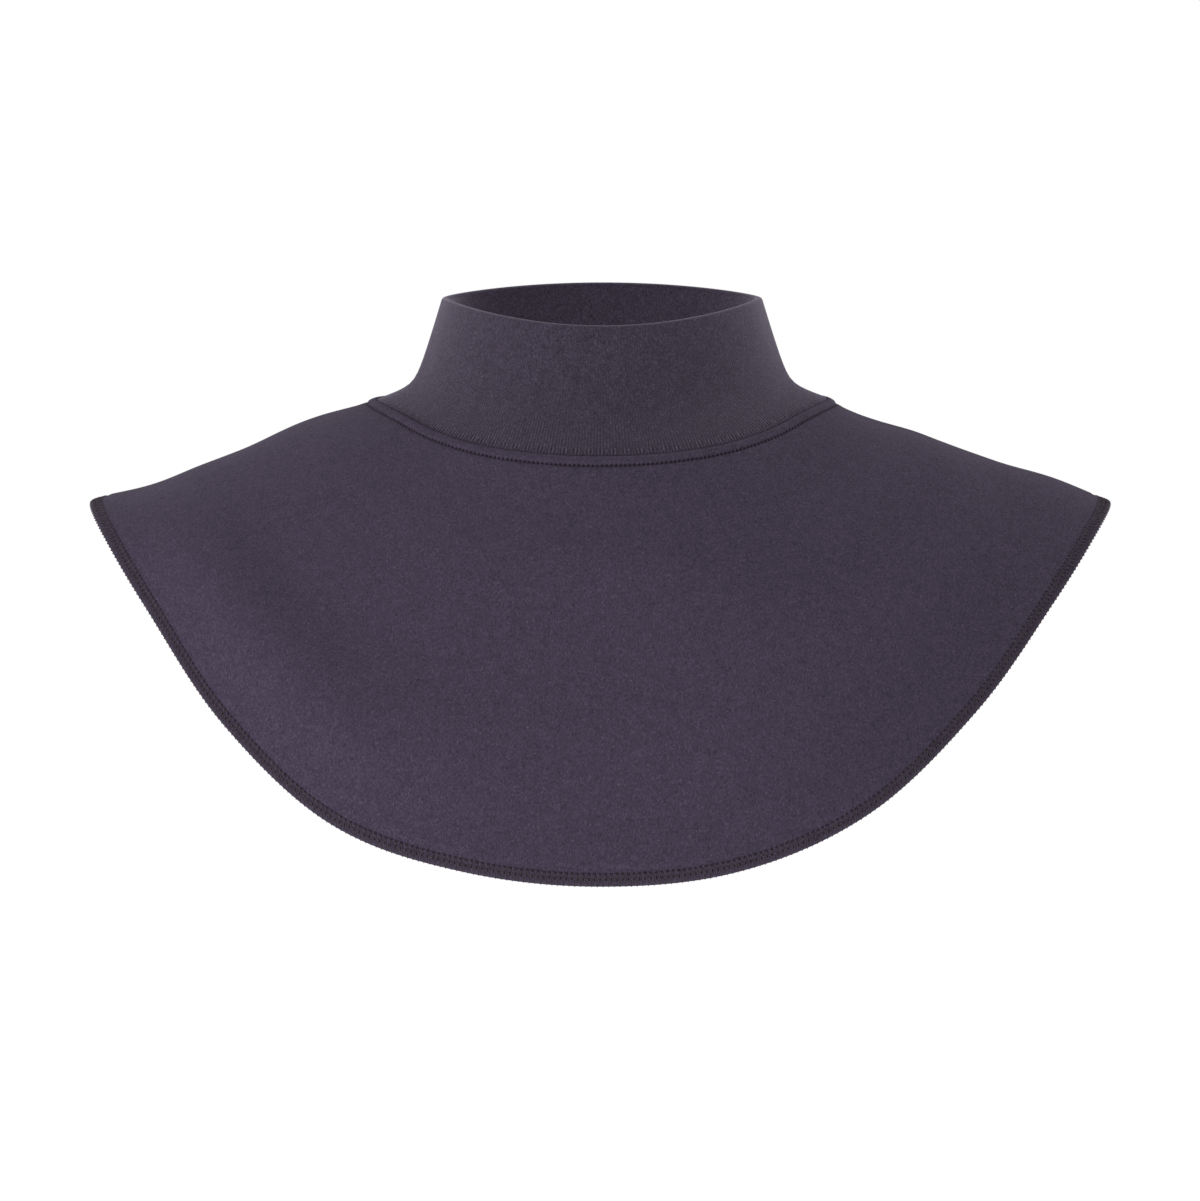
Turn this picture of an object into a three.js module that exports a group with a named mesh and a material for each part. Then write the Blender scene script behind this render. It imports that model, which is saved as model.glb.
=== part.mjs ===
// A turtleneck dickey: a knitted mock-neck collar on a shoulder cape with an overlocked edge.
// Millimetres, +Z up. The front of the neck faces -Y and +X is the viewer's right.
// The origin is the centre of the neck, at the level where the collar meets the shoulders.
import * as THREE from "three";

// Rim, the folded top edge of the collar
const RIM_HALF_WIDTH = 63.3;
const RIM_FRONT = 60;
const RIM_BACK = 46;
const RIM_HEIGHT = 42.2;
const RIM_FRONT_DIP = 8.5;
const RIM_BACK_RISE = 3.9;

// Seam, where collar and body are sewn together
const SEAM_HALF_WIDTH = 89.5;
const SEAM_FRONT = 82;
const SEAM_BACK = 72;
const SEAM_HEIGHT = 1.3;
const SEAM_FRONT_DIP = 16.7;
const SEAM_BACK_DIP = 4;
const SEAM_LEAN = 0.3;

// Hem, the free edge of the body
const HEM_HALF_WIDTH = 203.9;
const HEM_SHIFT = -0.7;
const HEM_FRONT = 125;
const HEM_BACK = 108;
const HEM_SHOULDER_LEVEL = -39.2;
const HEM_FRONT_DROP = 136.3;
const HEM_BACK_DROP = 112;
const HEM_FULLNESS = 0.08;

// Cloth and thread
const COLLAR_WALL = 3;
const BODY_WALL = 1.6;
const WELT_WIDTH = 4.4;
const WELT_RISE = 0.9;
const OVERLOCK_WIDTH = 7;
const OVERLOCK_THREAD = 0.5;
const HEM_WALL = 1;
const CLEARANCE = 0.3;
const FOLD_DEPTH = 6;
const RIB_HANDLE = 0.33;

// How finely the rings are divided
const COLUMNS = 76;

// How the collar changes on the way from the shoulder line, turn 0, to the centre of front or back, turn 90.
// bendOut and bendDown place the collar's bend between rim and seam, as shares of the way out and down,
// and bendHold is how tightly the cloth follows it. dip is a share of the seam's dip.
const COLLAR_TURNS = [
  { turn: 0, bendOut: 0.41, bendDown: 0.86, bendHold: 4, dip: 0 },
  { turn: 15, bendOut: 0.4, bendDown: 0.85, bendHold: 3.8, dip: 0.03 },
  { turn: 30, bendOut: 0.39, bendDown: 0.8, bendHold: 3.4, dip: 0.2 },
  { turn: 45, bendOut: 0.38, bendDown: 0.74, bendHold: 2.8, dip: 0.54 },
  { turn: 60, bendOut: 0.34, bendDown: 0.68, bendHold: 2.2, dip: 0.81 },
  { turn: 75, bendOut: 0.31, bendDown: 0.64, bendHold: 1.8, dip: 0.95 },
  { turn: 90, bendOut: 0.3, bendDown: 0.62, bendHold: 1.6, dip: 1 },
];

// How the hem changes over the same turns. left, right and back are shares of its drop on the way to the
// front at the viewer's left and right, and to the back. arrive is the body's slope there, in degrees.
const HEM_TURNS = [
  { turn: 0, left: 0, right: 0, back: 0, arrive: 16 },
  { turn: 15, left: 0.07, right: 0.06, back: 0.06, arrive: 24 },
  { turn: 30, left: 0.27, right: 0.25, back: 0.27, arrive: 46 },
  { turn: 45, left: 0.58, right: 0.54, back: 0.57, arrive: 62 },
  { turn: 60, left: 0.84, right: 0.81, back: 0.84, arrive: 73 },
  { turn: 75, left: 0.96, right: 0.96, back: 0.96, arrive: 77 },
  { turn: 90, left: 1, right: 1, back: 1, arrive: 78 },
];

// Soft folds of the body. bearing is the angle from the centre of the front, towards the viewer's right,
// and spread is how far the fold runs to each side of it, in degrees. along and width are shares of the way
// from seam to hem, and height is a share of the fold depth, below zero for a valley.
const FOLDS = [
  { bearing: -45, spread: 45, along: 0.75, width: 0.25, height: 1.1 },
  { bearing: -55, spread: 30, along: 0.6, width: 0.1, height: -0.2 },
  { bearing: 45, spread: 30, along: 0.8, width: 0.2, height: -0.7 },
  { bearing: 45, spread: 40, along: 0.45, width: 0.25, height: 0.9 },
  { bearing: 70, spread: 20, along: 0.45, width: 0.25, height: 0.5 },
  { bearing: 0, spread: 35, along: 0.4, width: 0.3, height: -0.5 },
  { bearing: 0, spread: 50, along: 0.15, width: 0.13, height: -0.35 },
  { bearing: -90, spread: 30, along: 0.8, width: 0.2, height: -0.2 },
  { bearing: 90, spread: 30, along: 0.8, width: 0.2, height: 0.2 },
  { bearing: -90, spread: 30, along: 0.25, width: 0.25, height: 0.3 },
  { bearing: 90, spread: 30, along: 0.15, width: 0.2, height: -0.4 },
];

const DEGREE = Math.PI / 180;

// The row of a table of turns that stands at a bearing, and the side of the neck that it is on.
function stationAt(turns, bearing) {
  const aside = Math.abs(((((bearing + 180) % 360) + 360) % 360) - 180);
  const row = turns[Math.round(Math.abs(90 - aside) / turns[1].turn)];
  const side = aside > 90 ? "back" : Math.sin(bearing * DEGREE) < 0 ? "left" : "right";
  return { row, side };
}

// A value of a table of turns at any bearing, on a smooth curve through its rows once round the neck.
function readTurns(turns, bearing, pick) {
  const place = bearing / turns[1].turn;
  const from = Math.floor(place);
  const t = place - from;
  const [a, b, c, d] = [-1, 0, 1, 2].map((next) => {
    const station = stationAt(turns, (from + next) * turns[1].turn);
    return pick(station.row, station.side);
  });
  return b + 0.5 * t * (c - a + t * (2 * a - 5 * b + 4 * c - d + t * (3 * (b - c) + d - a)));
}

// How far forward of the neck's centre a ring lies: front and back depths joined smoothly at the sides.
function forwardOf(bearing, front, back) {
  const toFront = Math.cos(bearing * DEGREE);
  return ((front + back) / 2) * toFront + ((front - back) / 2) * toFront ** 2;
}

function rimPoint(bearing) {
  const toFront = Math.cos(bearing * DEGREE);
  const shift = toFront > 0 ? -RIM_FRONT_DIP : RIM_BACK_RISE;
  return new THREE.Vector3(
    RIM_HALF_WIDTH * Math.sin(bearing * DEGREE),
    -forwardOf(bearing, RIM_FRONT, RIM_BACK),
    RIM_HEIGHT + shift * toFront ** 2,
  );
}

function seamPoint(bearing) {
  const across = Math.sin(bearing * DEGREE);
  const dipOf = (row, side) => row.dip * (side === "back" ? SEAM_BACK_DIP : SEAM_FRONT_DIP);
  return new THREE.Vector3(
    SEAM_HALF_WIDTH * across,
    -forwardOf(bearing, SEAM_FRONT, SEAM_BACK),
    SEAM_HEIGHT + SEAM_LEAN * across - readTurns(COLLAR_TURNS, bearing, dipOf),
  );
}

// The hem's plan is a little fuller than an oval between the shoulder and the centre line.
function hemPoint(bearing) {
  const dropOf = (row, side) => row[side] * (side === "back" ? HEM_BACK_DROP : HEM_FRONT_DROP);
  const fuller = 1 + HEM_FULLNESS * Math.sin(2 * bearing * DEGREE) ** 2;
  return new THREE.Vector3(
    HEM_SHIFT + HEM_HALF_WIDTH * Math.sin(bearing * DEGREE),
    -forwardOf(bearing, HEM_FRONT, HEM_BACK) * fuller,
    HEM_SHOULDER_LEVEL - readTurns(HEM_TURNS, bearing, dropOf),
  );
}

// One rib of the collar, from rim to seam: a conic that is pulled towards the corner of the bend.
class CollarRib extends THREE.Curve {
  constructor(bearing) {
    super();
    const out = readTurns(COLLAR_TURNS, bearing, (row) => row.bendOut);
    const down = readTurns(COLLAR_TURNS, bearing, (row) => row.bendDown);
    this.rim = rimPoint(bearing);
    this.seam = seamPoint(bearing);
    this.hold = readTurns(COLLAR_TURNS, bearing, (row) => row.bendHold);
    this.bend = this.rim.clone().lerp(this.seam, out);
    this.bend.z = THREE.MathUtils.lerp(this.rim.z, this.seam.z, down);
  }

  getPoint(t, target = new THREE.Vector3()) {
    const weights = [(1 - t) ** 2, 2 * this.hold * t * (1 - t), t ** 2];
    return target
      .set(0, 0, 0)
      .addScaledVector(this.rim, weights[0])
      .addScaledVector(this.bend, weights[1])
      .addScaledVector(this.seam, weights[2])
      .divideScalar(weights[0] + weights[1] + weights[2]);
  }
}

// One rib of the body: it leaves the seam in line with the collar and turns down to the hem.
function bodyRib(bearing, collarRib) {
  const seam = collarRib.seam;
  const hem = hemPoint(bearing);
  const arrive = readTurns(HEM_TURNS, bearing, (row) => row.arrive) * DEGREE;
  const reach = seam.distanceTo(hem) * RIB_HANDLE;
  const leaving = seam.clone().sub(collarRib.bend).normalize();
  const arriving = hem.clone().sub(seam).setZ(0).setLength(Math.cos(arrive)).setZ(-Math.sin(arrive));
  return new THREE.CubicBezierCurve3(
    seam,
    seam.clone().addScaledVector(leaving, reach),
    hem.clone().addScaledVector(arriving, -reach),
    hem,
  );
}

// The ribs at a bearing, each made once.
const ribs = new Map();
function ribsAt(bearing) {
  if (!ribs.has(bearing)) {
    const collar = new CollarRib(bearing);
    ribs.set(bearing, { collar, body: bodyRib(bearing, collar) });
  }
  return ribs.get(bearing);
}

// A point of the smooth cloth. place runs from 0 at the rim over 1 at the seam to 2 at the hem.
function smoothCloth(bearing, place) {
  const { collar, body } = ribsAt(bearing);
  return place < 1 ? collar.getPointAt(place) : body.getPointAt(place - 1);
}

// The outward normal of a surface over bearing and place, from the slopes both ways.
function normalOf(surface, bearing, place) {
  const across = surface(bearing + 0.5, place).sub(surface(bearing - 0.5, place));
  const down = surface(bearing, Math.min(place + 0.01, 2)).sub(surface(bearing, Math.max(place - 0.01, 0)));
  return down.cross(across).normalize();
}

// A soft hump that is 1 at its middle and 0 from one spread away on.
function hump(away, spread) {
  return Math.abs(away) < spread ? (1 + Math.cos((Math.PI * away) / spread)) / 2 : 0;
}

// The cloth with its folds: the body rises and sinks along its normal.
function cloth(bearing, place) {
  const point = smoothCloth(bearing, place);
  const turned = ((((bearing + 180) % 360) + 360) % 360) - 180;
  const height = FOLDS.reduce((sum, fold) => {
    const share = hump(turned - fold.bearing, fold.spread) * hump(place - 1 - fold.along, fold.width);
    return sum + share * fold.height * FOLD_DEPTH;
  }, 0);
  return height ? point.addScaledVector(normalOf(smoothCloth, bearing, place), height) : point;
}

// Places on a rib, as functions of its own lengths from rim to seam and from seam to hem.
const belowRim = (distance) => (collar) => distance / collar;
const onCollar = (share) => () => share;
const belowSeam = (distance) => (collar, body) => 1 + distance / body;
const aboveHem = (distance) => (collar, body) => 2 - distance / body;
const onBody = (share) => (collar, body) =>
  1 + (WELT_WIDTH + share * (body - WELT_WIDTH - OVERLOCK_WIDTH)) / body;

// A closed band of cloth round the neck. profile is its cut edge as a loop of places, each with its lift
// above the cloth's outer face. The loop runs down the outer face and back up the inner one.
function bandRound(profile) {
  const positions = [];
  const places = [];
  const faces = [];
  for (let column = 0; column < COLUMNS; column++) {
    const bearing = (360 * column) / COLUMNS;
    const { collar, body } = ribsAt(bearing);
    for (const { at, lift } of profile) {
      const place = at(collar.getLength(), body.getLength());
      const point = cloth(bearing, place).addScaledVector(normalOf(cloth, bearing, place), lift);
      positions.push(point.x, point.y, point.z);
      places.push(place);
    }
  }
  // Each four-sided patch is cut from its upper corner here to its lower corner in the next column,
  // on the outer face and the inner one alike, so that neighbouring faces keep their distance.
  for (let column = 0; column < COLUMNS; column++) {
    const here = column * profile.length;
    const next = ((column + 1) % COLUMNS) * profile.length;
    for (let row = 0; row < profile.length; row++) {
      const below = (row + 1) % profile.length;
      const downwards = places[here + below] >= places[here + row];
      faces.push(here + row, here + below, downwards ? next + below : next + row);
      faces.push(downwards ? here + row : here + below, next + below, next + row);
    }
  }
  const geometry = new THREE.BufferGeometry();
  geometry.setAttribute("position", new THREE.Float32BufferAttribute(positions, 3));
  geometry.setIndex(faces);
  geometry.computeVertexNormals();
  return geometry;
}

function knit() {
  return new THREE.MeshStandardMaterial({ color: 0x413849, roughness: 0.95, metalness: 0 });
}

function overlockThread() {
  return new THREE.MeshStandardMaterial({ color: 0x40383f, roughness: 0.9, metalness: 0 });
}

// The double ply of the collar, folded over at the rim. Below the seam its two edges are turned down
// together, and lie under the humped neck edge of the body.
function collar() {
  const radius = COLLAR_WALL / 2;
  const fold = [0, 45, 90, 135, 180].map((angle) => ({
    at: belowRim(radius * (1 - Math.sin((180 - angle) * DEGREE))),
    lift: -radius * (1 + Math.cos(angle * DEGREE)),
  }));
  const outer = [0.15, 0.3, 0.42, 0.5, 0.57, 0.64, 0.7, 0.76, 0.82, 0.9].map((share) => ({
    at: onCollar(share),
    lift: 0,
  }));
  const inner = [0.88, 0.78, 0.68, 0.58, 0.45, 0.3, 0.15].map((share) => ({
    at: onCollar(share),
    lift: -COLLAR_WALL,
  }));
  const allowanceTop = WELT_RISE - BODY_WALL - CLEARANCE;
  const allowanceEnd = WELT_WIDTH - BODY_WALL;
  const allowance = [
    { at: belowSeam(0), lift: 0 },
    { at: belowSeam(0), lift: allowanceTop },
    { at: belowSeam(allowanceEnd / 2), lift: allowanceTop },
    { at: belowSeam(allowanceEnd), lift: allowanceTop },
    { at: belowSeam(allowanceEnd), lift: -COLLAR_WALL },
    { at: belowSeam(0), lift: -COLLAR_WALL },
  ];
  const mesh = new THREE.Mesh(bandRound([...fold, ...outer, ...allowance, ...inner]), knit());
  mesh.name = "collar";
  return mesh;
}

// The single ply of the body, from its humped neck edge to its raw hem, which the overlock presses thin.
function body() {
  const sunk = -(BODY_WALL - HEM_WALL) / 2;
  const edge = OVERLOCK_THREAD + 2 * CLEARANCE;
  const neckEdge = [
    { at: belowSeam(CLEARANCE), lift: WELT_RISE / 3 },
    { at: belowSeam(BODY_WALL / 2), lift: WELT_RISE },
    { at: belowSeam(WELT_WIDTH / 2), lift: WELT_RISE },
    { at: belowSeam(WELT_WIDTH - BODY_WALL / 2), lift: WELT_RISE },
    { at: belowSeam(WELT_WIDTH), lift: 0 },
  ];
  const outer = [0.04, 0.09, 0.15, 0.24, 0.34, 0.44, 0.53, 0.62, 0.7, 0.78, 0.86, 0.93].map((share) => ({
    at: onBody(share),
    lift: 0,
  }));
  const hem = [
    { at: aboveHem(OVERLOCK_WIDTH + BODY_WALL), lift: 0 },
    { at: aboveHem(OVERLOCK_WIDTH), lift: sunk },
    { at: aboveHem(OVERLOCK_WIDTH / 2), lift: sunk },
    { at: aboveHem(edge), lift: sunk },
    { at: aboveHem(edge), lift: sunk - HEM_WALL },
    { at: aboveHem(OVERLOCK_WIDTH / 2), lift: sunk - HEM_WALL },
    { at: aboveHem(OVERLOCK_WIDTH), lift: sunk - HEM_WALL },
    { at: aboveHem(OVERLOCK_WIDTH + BODY_WALL), lift: -BODY_WALL },
  ];
  const inner = [0.9, 0.82, 0.72, 0.62, 0.5, 0.36, 0.22, 0.1].map((share) => ({
    at: onBody(share),
    lift: -BODY_WALL,
  }));
  const underWelt = [
    { at: belowSeam(WELT_WIDTH), lift: -BODY_WALL },
    { at: belowSeam(WELT_WIDTH - BODY_WALL / 2), lift: WELT_RISE - BODY_WALL },
    { at: belowSeam(WELT_WIDTH / 2), lift: WELT_RISE - BODY_WALL },
    { at: belowSeam(CLEARANCE), lift: WELT_RISE - BODY_WALL },
  ];
  const mesh = new THREE.Mesh(bandRound([...neckEdge, ...outer, ...hem, ...inner, ...underWelt]), knit());
  mesh.name = "body";
  return mesh;
}

// The overlock's thread, wrapped round the raw hem like a channel.
function hemOverlock() {
  const face = -(BODY_WALL - HEM_WALL) / 2 + CLEARANCE;
  const back = -(BODY_WALL + HEM_WALL) / 2 - CLEARANCE;
  const middle = (face + back) / 2;
  const profile = [
    { at: aboveHem(OVERLOCK_WIDTH), lift: face },
    { at: aboveHem(OVERLOCK_WIDTH), lift: face + OVERLOCK_THREAD },
    { at: aboveHem(2 * OVERLOCK_THREAD), lift: face + OVERLOCK_THREAD },
    { at: aboveHem(OVERLOCK_THREAD / 3), lift: face },
    { at: aboveHem(0), lift: middle },
    { at: aboveHem(OVERLOCK_THREAD / 3), lift: back },
    { at: aboveHem(2 * OVERLOCK_THREAD), lift: back - OVERLOCK_THREAD },
    { at: aboveHem(OVERLOCK_WIDTH), lift: back - OVERLOCK_THREAD },
    { at: aboveHem(OVERLOCK_WIDTH), lift: back },
    { at: aboveHem(OVERLOCK_WIDTH / 2), lift: back },
    { at: aboveHem(OVERLOCK_THREAD), lift: back },
    { at: aboveHem(OVERLOCK_THREAD), lift: face },
    { at: aboveHem(OVERLOCK_WIDTH / 2), lift: face },
  ];
  const mesh = new THREE.Mesh(bandRound(profile), overlockThread());
  mesh.name = "hem_overlock";
  return mesh;
}

const dickey = new THREE.Group();
dickey.add(collar(), body(), hemOverlock());
export default dickey;
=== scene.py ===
"""A knitted turtleneck dickey in the form that it takes when it is worn.

Metres, +Z up. The front of the neck faces -Y, +X is the viewer's right, and the origin is the centre of
the neck at the level of the collar's seam. A bearing is an angle round the neck in degrees, 0 at the front
and 90 at the viewer's right.
"""
import math

import bpy
import numpy as np
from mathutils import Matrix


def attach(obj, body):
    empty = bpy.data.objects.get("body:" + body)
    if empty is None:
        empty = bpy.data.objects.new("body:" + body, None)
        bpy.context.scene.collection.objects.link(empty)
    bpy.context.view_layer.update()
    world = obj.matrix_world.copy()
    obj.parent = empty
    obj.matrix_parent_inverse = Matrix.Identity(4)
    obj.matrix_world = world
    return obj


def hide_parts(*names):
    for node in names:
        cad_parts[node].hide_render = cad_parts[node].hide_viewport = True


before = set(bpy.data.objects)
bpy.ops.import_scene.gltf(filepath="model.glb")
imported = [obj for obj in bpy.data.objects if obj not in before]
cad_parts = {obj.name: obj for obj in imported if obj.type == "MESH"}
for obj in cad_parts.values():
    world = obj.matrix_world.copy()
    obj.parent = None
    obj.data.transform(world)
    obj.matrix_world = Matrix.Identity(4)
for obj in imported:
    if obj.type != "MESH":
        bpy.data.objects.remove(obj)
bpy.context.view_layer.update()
MM = 0.001


# Where it is seen from
# A long lens two metres in front and a little above looks at the chest, against white. The white ground
# lies far below and throws light up, the room gives weaker light from all round, a broad lamp stands at the
# left in front, and two high lamps behind draw the edges out.
VIEW_RISE = math.radians(6)
VIEW_DISTANCE = 2.0
AIM = (-0.8 * MM, 0.0, -79.5 * MM)
LENS_MM, FILM_MM = 150, 36
FARTHEST_SEEN = 50
GROUND_LEVEL = -0.7
GROUND_SIZE = 14.0
GROUND_WHITE, GROUND_GLOW = 0.95, 0.7
ROOM_LIGHT = 0.36
LAMP_SIZE = 0.9

# Lamps: name, place and power in watts.
LAMPS = [
    ("left in front", (-1.7, -1.0, 0.27), 11.5),
    ("behind at the left", (-1.1, 0.65, 1.45), 6),
    ("behind at the right", (1.1, 0.65, 1.45), 14),
]


def put_camera():
    """The camera on a line that rises from the aim point, away from the front of the neck."""
    data = bpy.data.cameras.new("view")
    data.lens, data.sensor_width, data.sensor_fit = LENS_MM, FILM_MM, "HORIZONTAL"
    data.clip_end = FARTHEST_SEEN
    camera = bpy.data.objects.new("view", data)
    camera.location = (
        AIM[0],
        AIM[1] - VIEW_DISTANCE * math.cos(VIEW_RISE),
        AIM[2] + VIEW_DISTANCE * math.sin(VIEW_RISE),
    )
    camera.rotation_euler = (math.pi / 2 - VIEW_RISE, 0, 0)
    bpy.context.scene.collection.objects.link(camera)
    bpy.context.scene.camera = camera


def put_lamp(name, place, watts):
    """A square white area lamp at a place, turned to face the aim point."""
    data = bpy.data.lights.new(name, "AREA")
    data.size, data.energy = LAMP_SIZE, watts
    lamp = bpy.data.objects.new(name, data)
    lamp.location = place
    away = np.subtract(AIM, place)
    lamp.rotation_euler = (
        math.atan2(math.hypot(away[0], away[1]), -away[2]),
        0,
        math.atan2(away[1], away[0]) - math.pi / 2,
    )
    bpy.context.scene.collection.objects.link(lamp)


def put_ground():
    """A wide white square below everything."""
    half = GROUND_SIZE / 2
    corners = [(-half, -half), (half, -half), (half, half), (-half, half)]
    mesh = bpy.data.meshes.new("ground")
    mesh.from_pydata([(x, y, GROUND_LEVEL) for x, y in corners], [], [(0, 1, 2, 3)])
    ground = bpy.data.objects.new("ground", mesh)
    white = bpy.data.materials.new("white ground")
    white.use_nodes = True
    shader = white.node_tree.nodes["Principled BSDF"]
    shader.inputs["Base Color"].default_value = (GROUND_WHITE, GROUND_WHITE, GROUND_WHITE, 1)
    shader.inputs["Roughness"].default_value = 1
    shader.inputs["Emission Color"].default_value = (1, 1, 1, 1)
    shader.inputs["Emission Strength"].default_value = GROUND_GLOW
    mesh.materials.append(white)
    bpy.context.scene.collection.objects.link(ground)


put_camera()
put_ground()
for lamp_name, lamp_place, lamp_watts in LAMPS:
    put_lamp(lamp_name, lamp_place, lamp_watts)


def white_room(light):
    """A world that looks white, and gives a weaker white light."""
    world = bpy.data.worlds.new("white room")
    bpy.context.scene.world = world
    world.use_nodes = True
    tree = world.node_tree
    room = tree.nodes["Background"]
    room.inputs["Color"].default_value = (1, 1, 1, 1)
    seen = tree.nodes.new("ShaderNodeLightPath").outputs["Is Camera Ray"]
    strength = tree.nodes.new("ShaderNodeMapRange")
    strength.inputs["To Min"].default_value, strength.inputs["To Max"].default_value = light, 1.0
    tree.links.new(seen, strength.inputs["Value"])
    tree.links.new(strength.outputs[0], room.inputs["Strength"])


white_room(ROOM_LIGHT)
bpy.context.scene.view_settings.view_transform = "Standard"


# The collar
# A band of fine rib knit, doubled and folded over at the rim, so that no raw edge shows there. It stands
# round the neck, bends outwards low down and ends in the seam, where its two edges turn under the body.
RIM_HALF_WIDTH = 63.3 * MM
RIM_FRONT, RIM_BACK = 60 * MM, 46 * MM
RIM_HEIGHT = 42.2 * MM
RIM_FRONT_DIP, RIM_BACK_RISE = 8.5 * MM, 3.9 * MM
SEAM_HALF_WIDTH = 89.5 * MM
SEAM_FRONT, SEAM_BACK = 82 * MM, 72 * MM
SEAM_HEIGHT, SEAM_LEAN = 1.3 * MM, 0.3 * MM
SEAM_FRONT_DIP, SEAM_BACK_DIP = 16.7 * MM, 4 * MM
COLLAR_WALL = 3 * MM
ALLOWANCE_TOP, ALLOWANCE_END = -1.0 * MM, 2.8 * MM
RIBS = 410
STEPS_A_RIB = 4
RIB_RELIEF_AT_RIM, RIB_RELIEF_AT_SEAM = 0.03 * MM, 0.12 * MM
FURROW_AT_SEAM = 0.15 * MM
FURROW_PARTS = 12  # the drawn-in furrows take the last of this many equal parts of a rib
EDGE_ROUNDING = 0.3 * MM
JOIN_STITCHES = 302
JOIN_ROW = 2.3 * MM
YARN_BLOOM = (0.80, 0.72, 0.88)
# The collar's tone is darker than the body's, though both are the same yarn: the difference is painted
# shade.
SHADED_COLLAR_TONE, COLLAR_CONTRAST = (0.056, 0.0445, 0.0705), 1.5
# Painted light and shade on the collar: shade in the furrows and highlight on the wales, fading up from the
# seam, and shade and highlight in a row at the joining stitches.
FURROW_FADE = 20 * MM
FURROW_SHADE_AT_SEAM, FURROW_SHADE_AT_RIM = 0.28, 0.08
DENT_CORE, DENT_REACH, DENT_SHADE = 0.4 * MM, 1.5 * MM, 0.5
GRAINS_A_METRE, DRIFTS_A_METRE = 1700, 260
RIB_SAMPLES = 201
ROUND_STEPS = 2880

# Rows from the shoulder line, turn 0, to the centre of front or back, turn 90.
TURN_STEP = 15
TURN_COLUMNS = ("bend_out", "bend_down", "bend_hold", "seam", "left", "right", "back", "arrive")
TURNS = np.array([
    (0.41, 0.86, 4.0, 0.00, 0.00, 0.00, 0.00, 16),
    (0.40, 0.85, 3.8, 0.03, 0.07, 0.06, 0.06, 24),
    (0.39, 0.80, 3.4, 0.20, 0.27, 0.25, 0.27, 46),
    (0.38, 0.74, 2.8, 0.54, 0.58, 0.54, 0.57, 62),
    (0.34, 0.68, 2.2, 0.81, 0.84, 0.81, 0.84, 73),
    (0.31, 0.64, 1.8, 0.95, 0.96, 0.96, 0.96, 77),
    (0.30, 0.62, 1.6, 1.00, 1.00, 1.00, 1.00, 78),
])


def read_turns(bearing, column_at):
    """A value of TURNS at any bearing, on a Catmull-Rom curve through the rows once round the neck."""
    stations = np.arange(0, 360, TURN_STEP)
    aside = np.minimum(stations, 360 - stations)
    rows = np.abs(90 - aside) // TURN_STEP
    loop = column_at(TURNS[rows], stations)
    place = np.asarray(bearing) / TURN_STEP
    start = np.floor(place).astype(int)
    t = place - start
    a, b, c, d = (loop[(start + step) % len(loop)] for step in (-1, 0, 1, 2))
    return b + 0.5 * t * (c - a + t * (2 * a - 5 * b + 4 * c - d + t * (3 * (b - c) + d - a)))


def turn_value(bearing, name):
    """A column of TURNS that is the same at the front and at the back."""
    return read_turns(bearing, lambda rows, stations: rows[:, TURN_COLUMNS.index(name)])


def forward_of(bearing, front, back):
    """Depth in front of the neck's centre: front and back depths joined smoothly at the sides."""
    to_front = np.cos(np.radians(bearing))
    return (front + back) / 2 * to_front + (front - back) / 2 * to_front**2


def rim_points(bearing):
    """An oval that dips at the front and rises at the back with the square of the cosine."""
    to_front = np.cos(np.radians(bearing))
    shift = np.where(to_front > 0, -RIM_FRONT_DIP, RIM_BACK_RISE)
    return np.stack([
        RIM_HALF_WIDTH * np.sin(np.radians(bearing)),
        -forward_of(bearing, RIM_FRONT, RIM_BACK),
        RIM_HEIGHT + shift * to_front**2,
    ], -1)


def seam_points(bearing):
    """An oval that dips by the seam column of TURNS."""
    def dips(rows, stations):
        is_back = np.abs(stations - 180) < 90
        return rows[:, TURN_COLUMNS.index("seam")] * np.where(is_back, SEAM_BACK_DIP, SEAM_FRONT_DIP)

    across = np.sin(np.radians(bearing))
    return np.stack([
        SEAM_HALF_WIDTH * across,
        -forward_of(bearing, SEAM_FRONT, SEAM_BACK),
        SEAM_HEIGHT + SEAM_LEAN * across - read_turns(bearing, dips),
    ], -1)


def bend_points(bearing):
    """The corner that a collar rib bends round, a share of the way out and down from rim to seam."""
    rim, seam = rim_points(bearing), seam_points(bearing)
    shares = np.stack([turn_value(bearing, name) for name in ("bend_out", "bend_out", "bend_down")], -1)
    return rim + (seam - rim) * shares


def collar_ribs(bearing, t):
    """Conics from rim to seam: the bend point pulls with the weight bend_hold. bearing (n), t (n, m)."""
    hold = turn_value(bearing, "bend_hold")[:, None]
    weights = np.stack([(1 - t) ** 2, 2 * hold * t * (1 - t), t**2], -1)
    weights /= weights.sum(-1, keepdims=True)
    ends = np.stack([rim_points(bearing), bend_points(bearing), seam_points(bearing)], 1)
    return weights @ ends


def way_along(ribs, bearing):
    """Even steps of t for each rib, and the length that the rib has run at each of them."""
    t = np.broadcast_to(np.linspace(0, 1, RIB_SAMPLES), (len(bearing), RIB_SAMPLES))
    steps = np.linalg.norm(np.diff(ribs(bearing, t), axis=1), axis=2)
    return t, np.concatenate([np.zeros((len(bearing), 1)), np.cumsum(steps, axis=1)], axis=1)


def length_of(ribs, bearing):
    """The length of each rib, as a column."""
    return way_along(ribs, bearing)[1][:, -1:]


def evenly(ribs, bearing, shares):
    """Points at shares of each rib's own length. Each rib's share is read off a curve of its own, and all
    these curves are laid end to end, two apart, so that one interpolation serves them all."""
    t, run = way_along(ribs, bearing)
    lane = 2.0 * np.arange(len(bearing))[:, None]
    wanted = np.interp((shares + lane).ravel(), (run / run[:, -1:] + lane).ravel(), t.ravel())
    return ribs(bearing, wanted.reshape(shares.shape))


def along_normals(surface, bearing, shares):
    """Unit normals of surface(bearing, shares): the cross product of its slopes down and round the neck."""
    around = surface(bearing + 0.2, shares) - surface(bearing - 0.2, shares)
    down = surface(bearing, shares + 0.004) - surface(bearing, shares - 0.004)
    normals = np.cross(down, around)
    return normals / np.linalg.norm(normals, axis=-1, keepdims=True)


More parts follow.
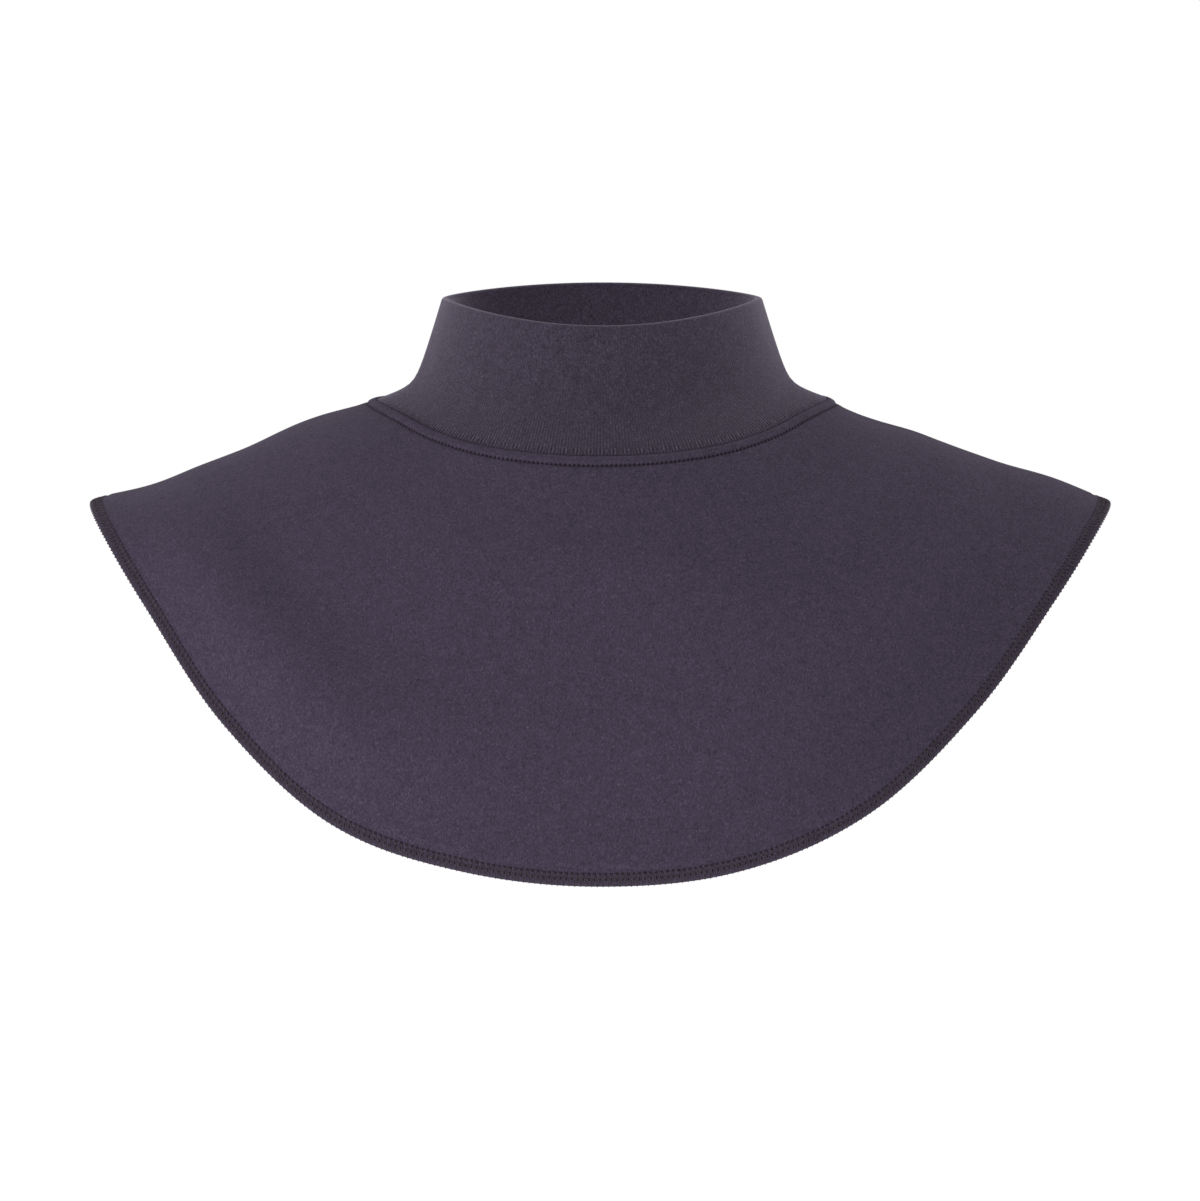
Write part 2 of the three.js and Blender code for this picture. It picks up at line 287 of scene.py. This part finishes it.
def raised(surface, bearing, shares, lift):
    """Points of a cloth's outer face, moved along its normals by a lift."""
    return surface(bearing, shares) + along_normals(surface, bearing, shares) * lift[..., None]


def hump(away, spread):
    """A soft rise that is 1 at its middle and 0 from one spread away on: half a cosine."""
    return np.where(np.abs(away) < spread, (1 + np.cos(np.pi * away / spread)) / 2, 0)


def from_bearing(bearing, middle):
    """Degrees from a middle bearing, between -180 and 180, as a column."""
    return ((bearing - middle + 180) % 360 - 180)[:, None]


def collar_cloth(bearing, shares):
    """The collar's outer face. Before 0 and past 1 it runs on straight, as it begins and as it ends."""
    rim, bend, seam = rim_points(bearing), bend_points(bearing), seam_points(bearing)
    length = length_of(collar_ribs, bearing)[..., None]
    up = (rim - bend) / np.linalg.norm(rim - bend, axis=1, keepdims=True)
    on = (seam - bend) / np.linalg.norm(seam - bend, axis=1, keepdims=True)
    points = evenly(collar_ribs, bearing, np.clip(shares, 0, 1))
    points = points - np.minimum(shares, 0)[..., None] * length * up[:, None]
    return points + np.maximum(shares - 1, 0)[..., None] * length * on[:, None]


def closed_band(name, loop, maps=()):
    """A mesh on a grid that closes both ways: loop is (columns, points round the cut edge, 3), and its
    points run down the outer face and back up the inner one. Each map is a name, each column's share of
    the way round, and each point's way along the cloth in metres."""
    columns, rows = loop.shape[:2]
    here = np.arange(columns)[:, None] * rows + np.arange(rows)[None]
    below, beside = np.roll(here, -1, 1), np.roll(here, -1, 0)
    opposite = np.roll(below, -1, 0)
    faces = np.stack([here, below, opposite, beside], -1).reshape(-1, 4).astype(np.int32)
    mesh = bpy.data.meshes.new(name)
    mesh.vertices.add(columns * rows)
    mesh.vertices.foreach_set("co", loop.astype(np.float32).ravel())
    mesh.loops.add(faces.size)
    mesh.loops.foreach_set("vertex_index", faces.ravel())
    mesh.polygons.add(len(faces))
    mesh.polygons.foreach_set("loop_start", np.arange(0, faces.size, 4, dtype=np.int32))
    mesh.polygons.foreach_set("use_smooth", np.ones(len(faces), bool))
    mesh.update(calc_edges=True)
    for map_name, start, along in maps:
        stop, lower = np.append(start[1:], start[0] + 1), np.roll(along, -1, 1)
        corners = np.empty((columns, rows, 4, 2), np.float32)
        corners[..., 0] = np.stack([start, start, stop, stop], -1)[:, None]
        corners[..., 1] = np.stack([along, lower, np.roll(lower, -1, 0), np.roll(along, -1, 0)], -1)
        mesh.uv_layers.new(name=map_name).data.foreach_set("uv", corners.ravel())
    piece = bpy.data.objects.new(name, mesh)
    bpy.context.scene.collection.objects.link(piece)
    return piece


def rough_finish(name, roughness, sheen, sheen_tint):
    """An empty rough material, and a short way to add a node with its settings and links."""
    material = bpy.data.materials.new(name)
    material.use_nodes = True
    tree = material.node_tree
    shader = tree.nodes["Principled BSDF"]
    shader.inputs["Roughness"].default_value = roughness
    shader.inputs["Specular IOR Level"].default_value = 0.12
    shader.inputs["Sheen Weight"].default_value = sheen
    shader.inputs["Sheen Roughness"].default_value = 0.45
    shader.inputs["Sheen Tint"].default_value = (*sheen_tint, 1)

    def node(kind, inputs=(), **settings):
        """One node, with its settings, and with a value or a link for each input named."""
        made = tree.nodes.new(kind)
        for key, value in settings.items():
            setattr(made, key, value)
        for socket, value in dict(inputs).items():
            if isinstance(value, bpy.types.NodeSocket):
                tree.links.new(value, made.inputs[socket])
            else:
                made.inputs[socket].default_value = value
        return made

    return material, tree, shader, node


def ramp_of(node, factor, stops):
    """Colours that follow a factor: stops are (place, colour)."""
    made = node("ShaderNodeValToRGB", {0: factor})
    elements = made.color_ramp.elements
    while len(elements) < len(stops):
        elements.new(0.5)
    for element, (place, colour) in zip(elements, stops):
        element.position, element.color = place, (*colour, 1)
    return made.outputs[0]


def blended(node, kind, factor, first, second):
    """Two colours put together by a Mix node."""
    made = node("ShaderNodeMix", {0: factor, 6: first, 7: second}, data_type="RGBA", blend_type=kind)
    return made.outputs[2]


def heather(node, mid, contrast):
    """Yarn spun from fibres of several shades: a mid tone with deeper and paler grains half a millimetre
    wide, a few pale flecks, and a slow drift of tone over a few millimetres. Returns colour and height."""
    place = node("ShaderNodeTexCoord").outputs["Object"]
    drawn = node("ShaderNodeMapping", {"Vector": place, "Scale": (1, 1, 0.65)}).outputs[0]
    grain = node("ShaderNodeTexNoise", {
        "Vector": drawn, "Scale": GRAINS_A_METRE, "Detail": 2, "Roughness": 0.7,
    })
    tones = [(0.28, -0.40), (0.5, 0.0), (0.66, 0.32), (0.78, 1.2)]
    fibres = ramp_of(node, grain.outputs[0], [
        (stop, [(1 + contrast * tone) * c for c in mid]) for stop, tone in tones
    ])
    drift = node("ShaderNodeTexNoise", {
        "Vector": place, "Scale": DRIFTS_A_METRE, "Detail": 4, "Roughness": 0.7,
    })
    low, high = 1 - 0.1 * contrast, 1 + 0.1 * contrast
    cloud = ramp_of(node, drift.outputs[0], [
        (0.3, (low, low, low + 0.02)),
        (0.7, (high, high - 0.01, high - 0.02)),
    ])
    return blended(node, "MULTIPLY", 1.0, fibres, cloud), grain.outputs[0]


def collar_edge(bearing):
    """The loop round the collar's cut edge, as shares of each rib and lifts: half round at the rim, down the
    outer face, over the seam, along the edges that are turned under the body, and up the inner face."""
    length = length_of(collar_ribs, bearing)
    columns = len(bearing)
    radius = COLLAR_WALL / 2
    turn = np.radians(np.linspace(0, 180, 9))
    fold = radius * (1 - np.sin(turn)) / length
    outer = np.tile(np.linspace(0.1, 0.9, 15), (columns, 1))
    last = 1 - np.array([3.6, 2.8, 2.0, 1.3, 0.7, 0.2]) * MM / length
    turned = 1 + np.array([0, 0.02, 0.5, 0.98, 1, 1, 0.98, 0.5, 0]) * ALLOWANCE_END / length
    inner = np.tile(np.linspace(0.94, 0.1, 12), (columns, 1))
    top, under = ALLOWANCE_TOP, -COLLAR_WALL
    lift = np.concatenate([
        -radius * (1 + np.cos(turn)),
        np.zeros(outer.shape[1] + last.shape[1]),
        [0, top, top, top, top - EDGE_ROUNDING, under + EDGE_ROUNDING, under, under, under],
        np.full(inner.shape[1], under),
    ])
    shares = np.concatenate([fold, outer, last, turned, inner], 1)
    return shares, np.tile(lift, (columns, 1))


def rib_relief(shares, lift):
    """Raised wales and sunk furrows: a cosine round the neck, faint at the rim, and deep just above the
    seam, where the stitches draw the furrows in."""
    below_top = np.clip(shares, 0, 1)
    deep = RIB_RELIEF_AT_RIM + (RIB_RELIEF_AT_SEAM - RIB_RELIEF_AT_RIM) * below_top**2
    drawn_in = FURROW_AT_SEAM * np.clip(1 - (1 - below_top) * FURROW_PARTS, 0, 1) ** 2
    wave = np.cos(2 * np.pi * np.arange(len(shares)) / STEPS_A_RIB)[:, None]
    on_face = (shares <= 1) & ((lift == 0) | (lift == -COLLAR_WALL))
    return on_face * np.where(lift == 0, 1, -1) * (deep * wave - drawn_in * (1 - wave) / 2)


def run_round(line):
    """Close bearings once round the neck, and the length that line(bearings) has run at each of them."""
    fine = np.arange(ROUND_STEPS + 1) * 360 / ROUND_STEPS
    return fine, np.append(0, np.cumsum(np.linalg.norm(np.diff(line(fine), axis=0), axis=1)))


def even_steps(line, count):
    """Bearings at even steps round the neck, measured along line(bearings)."""
    fine, run = run_round(line)
    return np.interp(np.arange(count) / count, run / run[-1], fine)


def spot_on(node, map_name):
    """A piece's own map: the share of the way round, and the way along the cloth in metres."""
    place = node("ShaderNodeUVMap", uv_map=map_name).outputs[0]
    parts = node("ShaderNodeSeparateXYZ", {0: place})
    return parts.outputs[0], parts.outputs[1]


def reckon(node, operation, first, second=0.0):
    """One Math node."""
    return node("ShaderNodeMath", {0: first, 1: second}, operation=operation).outputs[0]


def between(node, value, start, stop, first, last):
    """A value's way from start to stop as a way from first to last, held at both ends."""
    return node("ShaderNodeMapRange", {0: value, 1: start, 2: stop, 3: first, 4: last}).outputs[0]


def row_of_dots(node, spot, count, row, pitch, radius, darkest):
    """1 everywhere, and down to darkest in dots at whole steps of count round the neck, on a row."""
    away_round = reckon(node, "PINGPONG", reckon(node, "MULTIPLY", spot[0], count), 0.5)
    offset = node("ShaderNodeCombineXYZ", {
        0: reckon(node, "MULTIPLY", away_round, pitch),
        1: reckon(node, "SUBTRACT", spot[1], row),
    }).outputs[0]
    away = node("ShaderNodeVectorMath", {0: offset}, operation="LENGTH").outputs[1]
    return between(node, away, 0.3 * radius, radius, darkest, 1.0)


def waves_round(node, spot, count, height):
    """1 with a cosine of some height on it, count times round the neck."""
    wave = reckon(node, "COSINE", reckon(node, "MULTIPLY", spot[0], 2 * math.pi * count))
    return reckon(node, "ADD", reckon(node, "MULTIPLY", wave, height), 1.0)


def shaded(node, colour, *shares):
    """A colour times each of some shares."""
    for share in shares:
        grey = node("ShaderNodeCombineColor", {0: share, 1: share, 2: share}).outputs[0]
        colour = blended(node, "MULTIPLY", 1.0, colour, grey)
    return colour


def collar_finish():
    """Soft combed knit in a muted plum: heather colour in a tone darker than the body's, the difference
    being painted shade; painted shade in the furrows and painted highlight on the wales, fading towards the
    rim; painted shade and highlight in a row where the joining stitches pull; a painted shadow along the
    seam; and a pale bloom."""
    material, tree, shader, node = rough_finish("collar knit", 0.92, 0.5, YARN_BLOOM)
    colour, height = heather(node, SHADED_COLLAR_TONE, COLLAR_CONTRAST)
    spot = spot_on(node, "cloth")
    # Painted shade in the furrows and painted highlight on the wales: a cosine round the neck, strongest at
    # the seam and fading towards the rim.
    shade = between(node, spot[1], 0.0, FURROW_FADE, FURROW_SHADE_AT_SEAM, FURROW_SHADE_AT_RIM)
    furrows = waves_round(node, spot, RIBS, shade)
    # Painted shade and highlight in a row at the joining stitches: darker dents with lighter cloth between
    # them. The shape has no dents here.
    from_row = reckon(node, "ABSOLUTE", reckon(node, "SUBTRACT", spot[1], JOIN_ROW))
    pull = between(node, from_row, DENT_CORE, DENT_REACH, DENT_SHADE, 0.0)
    dents = waves_round(node, spot, JOIN_STITCHES, pull)
    # A painted shadow along the seam, in the crease where the collar meets the body.
    seam_shadow = between(node, spot[1], 0.1 * MM, 0.6 * MM, 0.6, 1.0)
    tree.links.new(shaded(node, colour, furrows, dents, seam_shadow), shader.inputs["Base Color"])
    bump = node("ShaderNodeBump", {"Height": height, "Strength": 0.5, "Distance": 0.25 * MM})
    tree.links.new(bump.outputs[0], shader.inputs["Normal"])
    return material


columns = RIBS * STEPS_A_RIB
bearings = even_steps(seam_points, columns)
shares, lift = collar_edge(bearings)
collar_loop = raised(collar_cloth, bearings, shares, lift + rib_relief(shares, lift))
above_seam = (1 - shares) * length_of(collar_ribs, bearings)
collar = closed_band("collar_knit", collar_loop, [("cloth", np.arange(columns) / columns, above_seam)])
collar.data.materials.append(collar_finish())
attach(collar, "root")
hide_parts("collar")


# The body
# One ply of plain jersey in the same yarn, cut as a ring and sewn to the collar. Its neck edge is folded
# over the collar's edges and topstitched, which makes a rounded welt, and from there it hangs in soft folds
# over shoulders, chest and back to a raw hem.
HEM_HALF_WIDTH, HEM_SHIFT = 203.9 * MM, -0.7 * MM
HEM_FRONT, HEM_BACK = 125 * MM, 108 * MM
HEM_SHOULDER_LEVEL = -39.2 * MM
HEM_FRONT_DROP, HEM_BACK_DROP = 136.3 * MM, 112 * MM
HEM_FULLNESS = 0.08
BODY_WALL, HEM_WALL = 1.6 * MM, 1.0 * MM
WELT_WIDTH, WELT_RISE = 4.4 * MM, 0.9 * MM
OVERLOCK_WIDTH = 7 * MM
WELT_FULLNESS, WELT_SQUARENESS = 2.4, 0.7
GROOVE, GROOVE_WIDTH = 0.3 * MM, 0.6 * MM
PUFF, PUFF_AWAY, PUFF_WIDTH = 0.15 * MM, 2.2 * MM, 1.6 * MM
FOLD_DEPTH = 6 * MM
RIB_HANDLE = 0.33
BODY_COLUMNS = 700
STITCHES, STITCH_PITCH = 310, 1.75 * MM
# Painted shade in the needle holes, at the topstitch and in the overlock's two rows.
HOLE_RADIUS, STITCH_HOLE_SHADE = 0.75 * MM, 0.2
HEM_STITCHES, HEM_STITCH_PITCH = 548, 2.1 * MM
HEM_HOLE_RADIUS, HEM_HOLE_SHADE = 0.85 * MM, 0.3
NEEDLE_ROWS = (5.3 * MM, 3.3 * MM)
BODY_TONE, BODY_CONTRAST = (0.068, 0.0532, 0.0858), 1.15

# Folds: bearing, spread to each side, place and width as shares of the way from seam to hem, and height as
# a share of the fold depth, below zero for a valley.
FOLDS = [
    (-45, 45, 0.75, 0.25, 1.1),
    (-55, 30, 0.6, 0.1, -0.2),
    (45, 30, 0.8, 0.2, -0.7),
    (45, 40, 0.45, 0.25, 0.9),
    (70, 20, 0.45, 0.25, 0.5),
    (0, 35, 0.4, 0.3, -0.5),
    (0, 50, 0.15, 0.13, -0.35),
    (-90, 30, 0.8, 0.2, -0.2),
    (90, 30, 0.8, 0.2, 0.2),
    (-90, 30, 0.25, 0.25, 0.3),
    (90, 30, 0.15, 0.2, -0.4),
]
# Shallow waves that cloth keeps from handling: waves round the neck, waves down the rib, phase and height.
RIPPLES = [
    (7, 1.3, 0.4, 0.22 * MM),
    (11, -2.1, 1.9, 0.16 * MM),
    (17, 2.7, 3.1, 0.10 * MM),
    (5, 3.4, 5.0, 0.15 * MM),
]


def hem_points(bearing):
    """An oval, fuller between shoulder and centre line, that drops by the left, right and back of TURNS."""
    left, right, back = (TURN_COLUMNS.index(name) for name in ("left", "right", "back"))

    def drops(rows, stations):
        front = np.where(stations > 180, rows[:, left], rows[:, right]) * HEM_FRONT_DROP
        return np.where(np.abs(stations - 180) < 90, rows[:, back] * HEM_BACK_DROP, front)

    fuller = 1 + HEM_FULLNESS * np.sin(np.radians(2 * bearing)) ** 2
    return np.stack([
        HEM_SHIFT + HEM_HALF_WIDTH * np.sin(np.radians(bearing)),
        -forward_of(bearing, HEM_FRONT, HEM_BACK) * fuller,
        HEM_SHOULDER_LEVEL - read_turns(bearing, drops),
    ], -1)


def body_ribs(bearing, t):
    """Cubic curves that leave the seam in line with the collar, and meet the hem at the slope in TURNS."""
    seam, hem = seam_points(bearing), hem_points(bearing)
    slope = np.radians(turn_value(bearing, "arrive"))
    reach = RIB_HANDLE * np.linalg.norm(hem - seam, axis=1, keepdims=True)
    leaving = seam - bend_points(bearing)
    leaving /= np.linalg.norm(leaving, axis=1, keepdims=True)
    level = (hem - seam)[:, :2]
    level /= np.linalg.norm(level, axis=1, keepdims=True)
    arriving = np.column_stack([level * np.cos(slope)[:, None], -np.sin(slope)])
    weights = np.stack([(1 - t) ** 3, 3 * t * (1 - t) ** 2, 3 * t**2 * (1 - t), t**3], -1)
    return weights @ np.stack([seam, seam + leaving * reach, hem - arriving * reach, hem], 1)


def body_cloth(bearing, shares):
    """The body's outer face: even ribs, moved along their normals by the folds and by shallow ripples."""
    height = sum(
        hump(from_bearing(bearing, middle), spread) * hump(shares - along, width) * share * FOLD_DEPTH
        for middle, spread, along, width, share in FOLDS
    )
    inside = np.clip(shares * 8 - 0.5, 0, 1) * np.clip((1 - shares) * 10, 0, 1)
    height = height + inside * sum(
        deep * np.sin(round_count * np.radians(bearing)[:, None] + down_count * shares * np.pi + phase)
        for round_count, down_count, phase, deep in RIPPLES
    )

    def smooth(bearing, shares):
        return evenly(body_ribs, bearing, shares)

    return raised(smooth, bearing, shares, height)


def face_lift(below, above):
    """How far the outer face stands above the plain cloth: a round welt, the groove that the topstitch
    draws in, a slight puff past it, and the hem that the overlock presses thin. below is the way from the
    seam and above the way from the hem."""
    across = np.clip(below / WELT_WIDTH, 0, 1)
    round_top = (1 - np.abs(2 * across - 1) ** WELT_FULLNESS) ** WELT_SQUARENESS
    welt = WELT_RISE * round_top * (below < WELT_WIDTH)
    groove = -GROOVE * np.exp(-(((below - WELT_WIDTH) / GROOVE_WIDTH) ** 2))
    puff = PUFF * np.exp(-(((below - WELT_WIDTH - PUFF_AWAY) / PUFF_WIDTH) ** 2))
    pressed = np.clip((OVERLOCK_WIDTH + BODY_WALL - above) / BODY_WALL, 0, 1)
    return welt + groove + puff - (BODY_WALL - HEM_WALL) / 2 * pressed**2 * (3 - 2 * pressed)


def body_edge(bearing):
    """The loop round the body's cut edge: each point's way below the seam, each rib's length, and each
    point's depth under the outer face. It runs down the outer face, round the raw edge and up the inner.
    Near the seam and the hem its points, in millimetres from there, lie closer together."""
    length = length_of(body_ribs, bearing)
    near = np.array([
        0.3, 0.35, 0.5, 0.75, 1.1, 1.6, 2.2, 2.8, 3.3, 3.7,
        4, 4.2, 4.4, 4.7, 5.2, 5.8, 6.8, 8.2, 10, 12,
    ])
    middle = np.linspace(0, 1, 54)[1:-1]
    hem = np.array([
        10.5, 9.2, 8.4, 7.7, 7, 5.5, 4, 2.5, 1.3, 0.75,
        0.6, 0.6, 0.75, 1.3, 4, 7, 7.7, 8.4, 9.2, 10.5,
    ])
    back = np.linspace(1, 0, 32)[1:-1]
    start, stop = near[-1] * MM, length - hem[0] * MM
    columns = (len(bearing), 1)
    below = np.concatenate([
        np.tile(near * MM, columns),
        start + (stop - start) * middle,
        length - hem * MM,
        start + (stop - start) * back,
        np.tile(near[::-1] * MM, columns),
    ], 1)
    pressed = np.clip((OVERLOCK_WIDTH + BODY_WALL - (length - below)) / BODY_WALL, 0, 1)
    wall = BODY_WALL - (BODY_WALL - HEM_WALL) * pressed
    raw_edge = len(near) + len(middle) + 9
    inner_face = raw_edge + 4
    depth = np.zeros(below.shape[1])
    depth[0] = 0.15
    depth[raw_edge:inner_face] = [0.12, 0.35, 0.65, 0.88]
    depth[inner_face:] = 1
    depth[-1] = 0.85
    return below, length, depth * wall


def on_body(bearing, below, above, lift):
    """Points on the body's outer face, one for each bearing, moved along the normal by a lift, and the
    normals. The way down is given from the seam, or from the hem where below is None."""
    length = length_of(body_ribs, bearing)
    down = length - above[:, None] if below is None else np.broadcast_to(below, bearing.shape)[:, None]
    normals = along_normals(body_cloth, bearing, down / length)[:, 0]
    height = face_lift(down, length - down)[:, 0] + lift
    return body_cloth(bearing, down / length)[:, 0] + normals * height[:, None], normals


def topstitch_line(bearing):
    """The line of the topstitch."""
    return on_body(bearing, WELT_WIDTH, None, 0)[0]


def needle_line(bearing):
    """The line of the overlock's upper needle row."""
    return on_body(bearing, None, np.full(len(bearing), NEEDLE_ROWS[0]), 0)[0]


def shares_round(line, bearings):
    """Each bearing's share of the way round, measured along line(bearings)."""
    fine, run = run_round(line)
    return np.interp(bearings, fine, run / run[-1])


def body_finish():
    """The same heather, plain and matt, with painted shade in small pinholes where the needles go through:
    one row at the topstitch and two in the overlock; and a painted shadow along the seam."""
    material, tree, shader, node = rough_finish("body knit", 0.95, 0.06, YARN_BLOOM)
    colour, height = heather(node, BODY_TONE, BODY_CONTRAST)
    from_seam, from_hem = spot_on(node, "from seam"), spot_on(node, "from hem")
    # Painted shade in the needle holes of the topstitch and of the overlock's two rows.
    topstitch_hole_shade = row_of_dots(
        node, from_seam, STITCHES, WELT_WIDTH, STITCH_PITCH, HOLE_RADIUS, STITCH_HOLE_SHADE)
    upper, lower = [
        row_of_dots(node, from_hem, HEM_STITCHES, row, HEM_STITCH_PITCH, HEM_HOLE_RADIUS, HEM_HOLE_SHADE)
        for row in NEEDLE_ROWS
    ]
    # A painted shadow along the seam, in the crease where the body meets the collar.
    seam_shadow = between(node, from_seam[1], 0.1 * MM, 0.5 * MM, 0.7, 1.0)
    colour = shaded(node, colour, topstitch_hole_shade, upper, lower, seam_shadow)
    tree.links.new(colour, shader.inputs["Base Color"])
    bump = node("ShaderNodeBump", {"Height": height, "Strength": 0.5, "Distance": 0.3 * MM})
    tree.links.new(bump.outputs[0], shader.inputs["Normal"])
    return material


bearings = np.arange(BODY_COLUMNS) * 360 / BODY_COLUMNS
below, length, depth = body_edge(bearings)
body_lift = face_lift(below, length - below) - depth
body = closed_band("body_knit", raised(body_cloth, bearings, below / length, body_lift), [
    ("from seam", shares_round(topstitch_line, bearings), below),
    ("from hem", shares_round(needle_line, bearings), length - below),
])
body.data.materials.append(body_finish())
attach(body, "root")
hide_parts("body")


# The topstitch
# A lockstitch in matching polyester thread, which holds the welt down. Each stitch shows as a short grain of
# thread that lies in the groove it has drawn, between two needle holes.
STITCH_LENGTH, STITCH_THREAD = 1.15 * MM, 0.36 * MM
STITCH_LIFT = 0.06 * MM
STITCH_TONE = (0.048, 0.037, 0.058)


def grains(name, centres, along, up, length, thickness):
    """Short threads with round ends, all in one mesh: three rings of six points and two poles for each.
    A ring lies at a share of half the length, and its radius is a share of half the thickness."""
    at = np.array([-0.75, 0.0, 0.75]) * length / 2
    wide = np.array([0.75, 1.0, 0.75]) * thickness / 2
    turn = np.radians(np.arange(6) * 60)
    across = np.cross(along, up)
    rings = (
        centres[:, None, None]
        + along[:, None, None] * at[:, None, None]
        + across[:, None, None] * (wide[:, None] * np.cos(turn))[..., None]
        + up[:, None, None] * (wide[:, None] * np.sin(turn))[..., None]
    ).reshape(len(centres), 18, 3)
    poles = centres[:, None] + along[:, None] * (np.array([-1, 1]) * length / 2)[:, None]
    points = np.concatenate([rings, poles], 1)
    k, after = np.arange(6), (np.arange(6) + 1) % 6
    walls = [np.stack([k + r, after + r, after + r + 6, k + r + 6], -1) for r in (0, 6)]
    sides = np.concatenate(walls)
    caps = np.concatenate([
        np.stack([np.full(6, 18), after, k], -1),
        np.stack([np.full(6, 19), k + 12, after + 12], -1),
    ])
    first = (np.arange(len(centres)) * 20)[:, None, None]
    corners = np.concatenate([(sides[None] + first).ravel(), (caps[None] + first).ravel()])
    counts = np.repeat([4, 3], [len(centres) * len(sides), len(centres) * len(caps)])
    mesh = bpy.data.meshes.new(name)
    mesh.vertices.add(points.size // 3)
    mesh.vertices.foreach_set("co", points.astype(np.float32).ravel())
    mesh.loops.add(len(corners))
    mesh.loops.foreach_set("vertex_index", corners.astype(np.int32))
    mesh.polygons.add(len(counts))
    mesh.polygons.foreach_set("loop_start", (np.cumsum(counts) - counts).astype(np.int32))
    mesh.polygons.foreach_set("use_smooth", np.ones(len(counts), bool))
    mesh.update(calc_edges=True)
    piece = bpy.data.objects.new(name, mesh)
    bpy.context.scene.collection.objects.link(piece)
    return piece


def thread_finish(name, tone):
    """Matt spun thread with a fine uneven tone."""
    material, tree, shader, node = rough_finish(name, 0.85, 0.2, (0.8, 0.75, 0.85))
    place = node("ShaderNodeTexCoord").outputs["Object"]
    grain = node("ShaderNodeTexNoise", {"Vector": place, "Scale": 1400, "Detail": 2}).outputs[0]
    colour = ramp_of(node, grain, [(0.3, [0.6 * c for c in tone]), (0.7, [1.35 * c for c in tone])])
    tree.links.new(colour, shader.inputs["Base Color"])
    return material


def unit(vectors):
    """Vectors at length 1."""
    return vectors / np.linalg.norm(vectors, axis=-1, keepdims=True)


def between_holes(count, line):
    """Bearings halfway between whole steps along a line."""
    return even_steps(line, 2 * count)[1::2]


centres, outward = on_body(between_holes(STITCHES, topstitch_line), WELT_WIDTH, None, STITCH_LIFT)
ahead = unit(np.roll(centres, -1, 0) - np.roll(centres, 1, 0))
outward = unit(outward - ahead * (outward * ahead).sum(1, keepdims=True))
topstitch = grains("topstitch", centres, ahead, outward, STITCH_LENGTH, STITCH_THREAD)
topstitch.data.materials.append(thread_finish("topstitch thread", STITCH_TONE))
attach(topstitch, "root")


# The overlock
# The raw hem is bound by an overlock: two needle threads sewn in rows of short stitches, and two looper
# threads that zigzag between the upper row and the edge, one on the face and one on the back of the cloth.
LOOPER_THREAD, NEEDLE_THREAD = 0.30 * MM, 0.42 * MM
STEPS_A_STITCH = 12
LOOPER_END, LOOPER_BEND = 0.35 * MM, 0.8 * MM
NEEDLE_STITCH, NEEDLE_LIFT, NEEDLE_TURN = 1.3 * MM, 0.1 * MM, 0.3
OVERLOCK_TONE = (0.074, 0.058, 0.072)


def closed_thread(name, path, up, thickness):
    """A thread of six sides along a closed path: rings round each point, square to the way on."""
    ahead = unit(np.roll(path, -1, 0) - np.roll(path, 1, 0))
    across = unit(np.cross(ahead, up))
    above = np.cross(across, ahead)
    turn = np.radians(np.arange(6) * 60)[None, :, None]
    rings = across[:, None] * np.cos(turn) + above[:, None] * np.sin(turn)
    return closed_band(name, path[:, None] + rings * thickness / 2)


def looper(name, on_face):
    """A looper thread: each stitch leads from the needle row down to the edge and back up, as a wave of
    straight legs with round ends, and dips over the edge at its lower end."""
    steps = np.arange(HEM_STITCHES * STEPS_A_STITCH)
    bearing = even_steps(needle_line, len(steps))
    wave = (1 + np.cos(2 * np.pi * steps / STEPS_A_STITCH)) / 2
    wave = wave + 0.35 * (wave - 0.5) * wave * (1 - wave) * -4
    above = LOOPER_END + (NEEDLE_ROWS[0] - LOOPER_END) * wave
    at_edge = np.clip(1 - (above - LOOPER_END) / LOOPER_BEND, 0, 1)
    radius = LOOPER_THREAD / 2
    face, back = 0.5 * radius, -HEM_WALL - 0.5 * radius
    middle = -HEM_WALL / 2
    lift = face + (middle - face) * 0.8 * at_edge if on_face else back + (middle - back) * 0.8 * at_edge
    path, normals = on_body(bearing, None, above, lift)
    return closed_thread(name, path, normals, LOOPER_THREAD)


def needle_stitches(name, row):
    """Short grains along a needle row, between its holes, each turned a little towards the hem."""
    bearing = between_holes(HEM_STITCHES, needle_line)
    centres, outward = on_body(bearing, None, np.full(HEM_STITCHES, row), NEEDLE_LIFT)
    lower = on_body(bearing, None, np.full(HEM_STITCHES, row - 1 * MM), NEEDLE_LIFT)[0]
    ahead = unit(np.roll(centres, -1, 0) - np.roll(centres, 1, 0))
    ahead = unit(ahead + NEEDLE_TURN * unit(lower - centres))
    outward = unit(outward - ahead * (outward * ahead).sum(1, keepdims=True))
    return grains(name, centres, ahead, outward, NEEDLE_STITCH, NEEDLE_THREAD)


overlock_finish = thread_finish("overlock thread", OVERLOCK_TONE)
overlock = looper("overlock_face", True)
overlock_back = looper("overlock_back", False)
upper_needle = needle_stitches("overlock_upper_needle", NEEDLE_ROWS[0])
lower_needle = needle_stitches("overlock_lower_needle", NEEDLE_ROWS[1])
for piece in (overlock, overlock_back, upper_needle, lower_needle):
    piece.data.materials.append(overlock_finish)
    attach(piece, "root")
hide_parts("hem_overlock")
